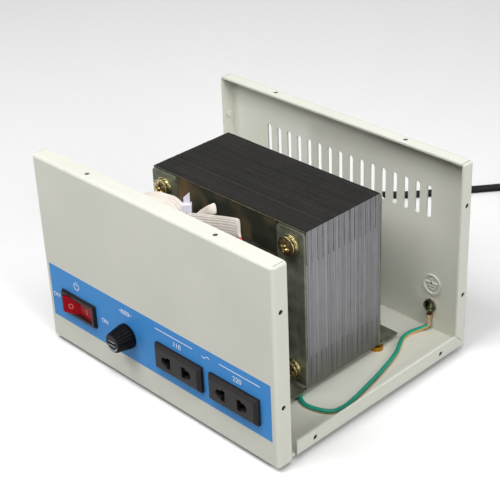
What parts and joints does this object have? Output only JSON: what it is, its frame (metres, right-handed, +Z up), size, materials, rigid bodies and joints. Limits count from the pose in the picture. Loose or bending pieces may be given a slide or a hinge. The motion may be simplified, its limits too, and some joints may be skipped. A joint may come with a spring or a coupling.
{
  "type": "voltage converter transformer",
  "caption": "Open-topped mains voltage converter: a folded steel chassis holds a laminated transformer, rocker switch, fuse holder, outlets and a coiled mains cord.",
  "frame": {"origin": "on the floor below the middle of the chassis, at the height of the rubber feet's undersides", "axes": "+X to the right along the front panel, +Y from the front panel to the rear panel, +Z up"},
  "size_m": [0.2039, 0.4146, 0.13],
  "materials": {
    "panel": "cream powder coat, fine texture",
    "chassis": "cream powder coat, fine texture",
    "feet": "matte",
    "switch_black": "fine matte",
    "rocker_red": "glossy",
    "brass_tabs": "tinned",
    "fuse_black": "semi-gloss",
    "fuse_glass": "clear",
    "nickel": "nickel plated",
    "outlet_black": "fine matte",
    "silicon_steel": "varnished sheet edges",
    "bobbin_nylon": "matte",
    "copper_wire": "enamelled",
    "wrap_tape": "varnished cloth tape",
    "frame_steel": "varnished steel",
    "yellow_zinc": "yellow zinc plated",
    "spring_steel": "zinc plated",
    "amber_pads": "translucent amber",
    "lug_copper": "tinned copper",
    "wire_green": "smooth, yellow stripe",
    "sleeve_cotton": "woven sleeve",
    "tie_nylon": "translucent",
    "wire_brown": "smooth",
    "wire_blue": "smooth",
    "wire_red": "smooth",
    "cord_black": "soft matte",
    "pin_brass": "polished"
  },
  "bodies": {
    "chassis": {"front_panel": "panel", "chassis_tray": "chassis", "rubber_feet": "feet", "switch_housing": "switch_black", "switch_terminals": "brass_tabs", "fuse_holder_body": "fuse_black", "fuse_holder_nut": "fuse_black", "fuse_holder_terminals": "brass_tabs", "outlet_1_body": "outlet_black", "outlet_2_body": "outlet_black", "outlet_1_contacts": "brass_tabs", "outlet_2_contacts": "brass_tabs", "core_e_laminations": "silicon_steel", "core_i_laminations": "silicon_steel", "bobbin": "bobbin_nylon", "copper_winding": "copper_wire", "coil_wrap": "wrap_tape", "end_frame_front": "frame_steel", "end_frame_rear": "frame_steel", "clamp_bolts": "yellow_zinc", "clamp_flat_washers": "yellow_zinc", "clamp_spring_washers": "spring_steel", "clamp_nuts": "yellow_zinc", "mounting_screws": "yellow_zinc", "mounting_spacers": "yellow_zinc", "mounting_nuts": "yellow_zinc", "rear_corner_pads": "amber_pads", "earth_screw": "yellow_zinc", "earth_star_washer": "spring_steel", "earth_lug": "lug_copper", "earth_nut": "yellow_zinc", "earth_wire": "wire_green", "lead_sleeves": "sleeve_cotton", "sleeve_tie": "tie_nylon", "live_lead": "wire_brown", "neutral_lead": "wire_blue", "switch_fuse_lead": "wire_brown", "fuse_coil_lead": "wire_red", "output_leads": "wire_red", "cord_strain_relief": "cord_black", "power_cord": "cord_black", "power_cord_coil": "cord_black", "plug_body": "cord_black", "plug_pins": "pin_brass"},
    "rocker": {"switch_rocker": "rocker_red"},
    "fuse_carrier": {"fuse_glass": "fuse_glass", "fuse_end_caps": "nickel"},
    "cap": {"fuse_cap": "fuse_black"}
  },
  "joints": [
    {"name": "rocker_tilt", "type": "hinge", "parent": "chassis", "child": "rocker", "pos_m": [-0.0685, -0.0785, 0.0355], "axis": [0, 0, -1], "range_deg": [0, 18]},
    {"name": "fuse_pull", "type": "slide", "parent": "chassis", "child": "fuse_carrier", "axis": [0, -1, 0], "range_m": [0, 0.03]},
    {"name": "cap_turn", "type": "hinge", "parent": "fuse_carrier", "child": "cap", "pos_m": [-0.0235, -0.088, 0.0355], "axis": [0, -1, 0], "range_deg": [0, 90]}
  ]
}
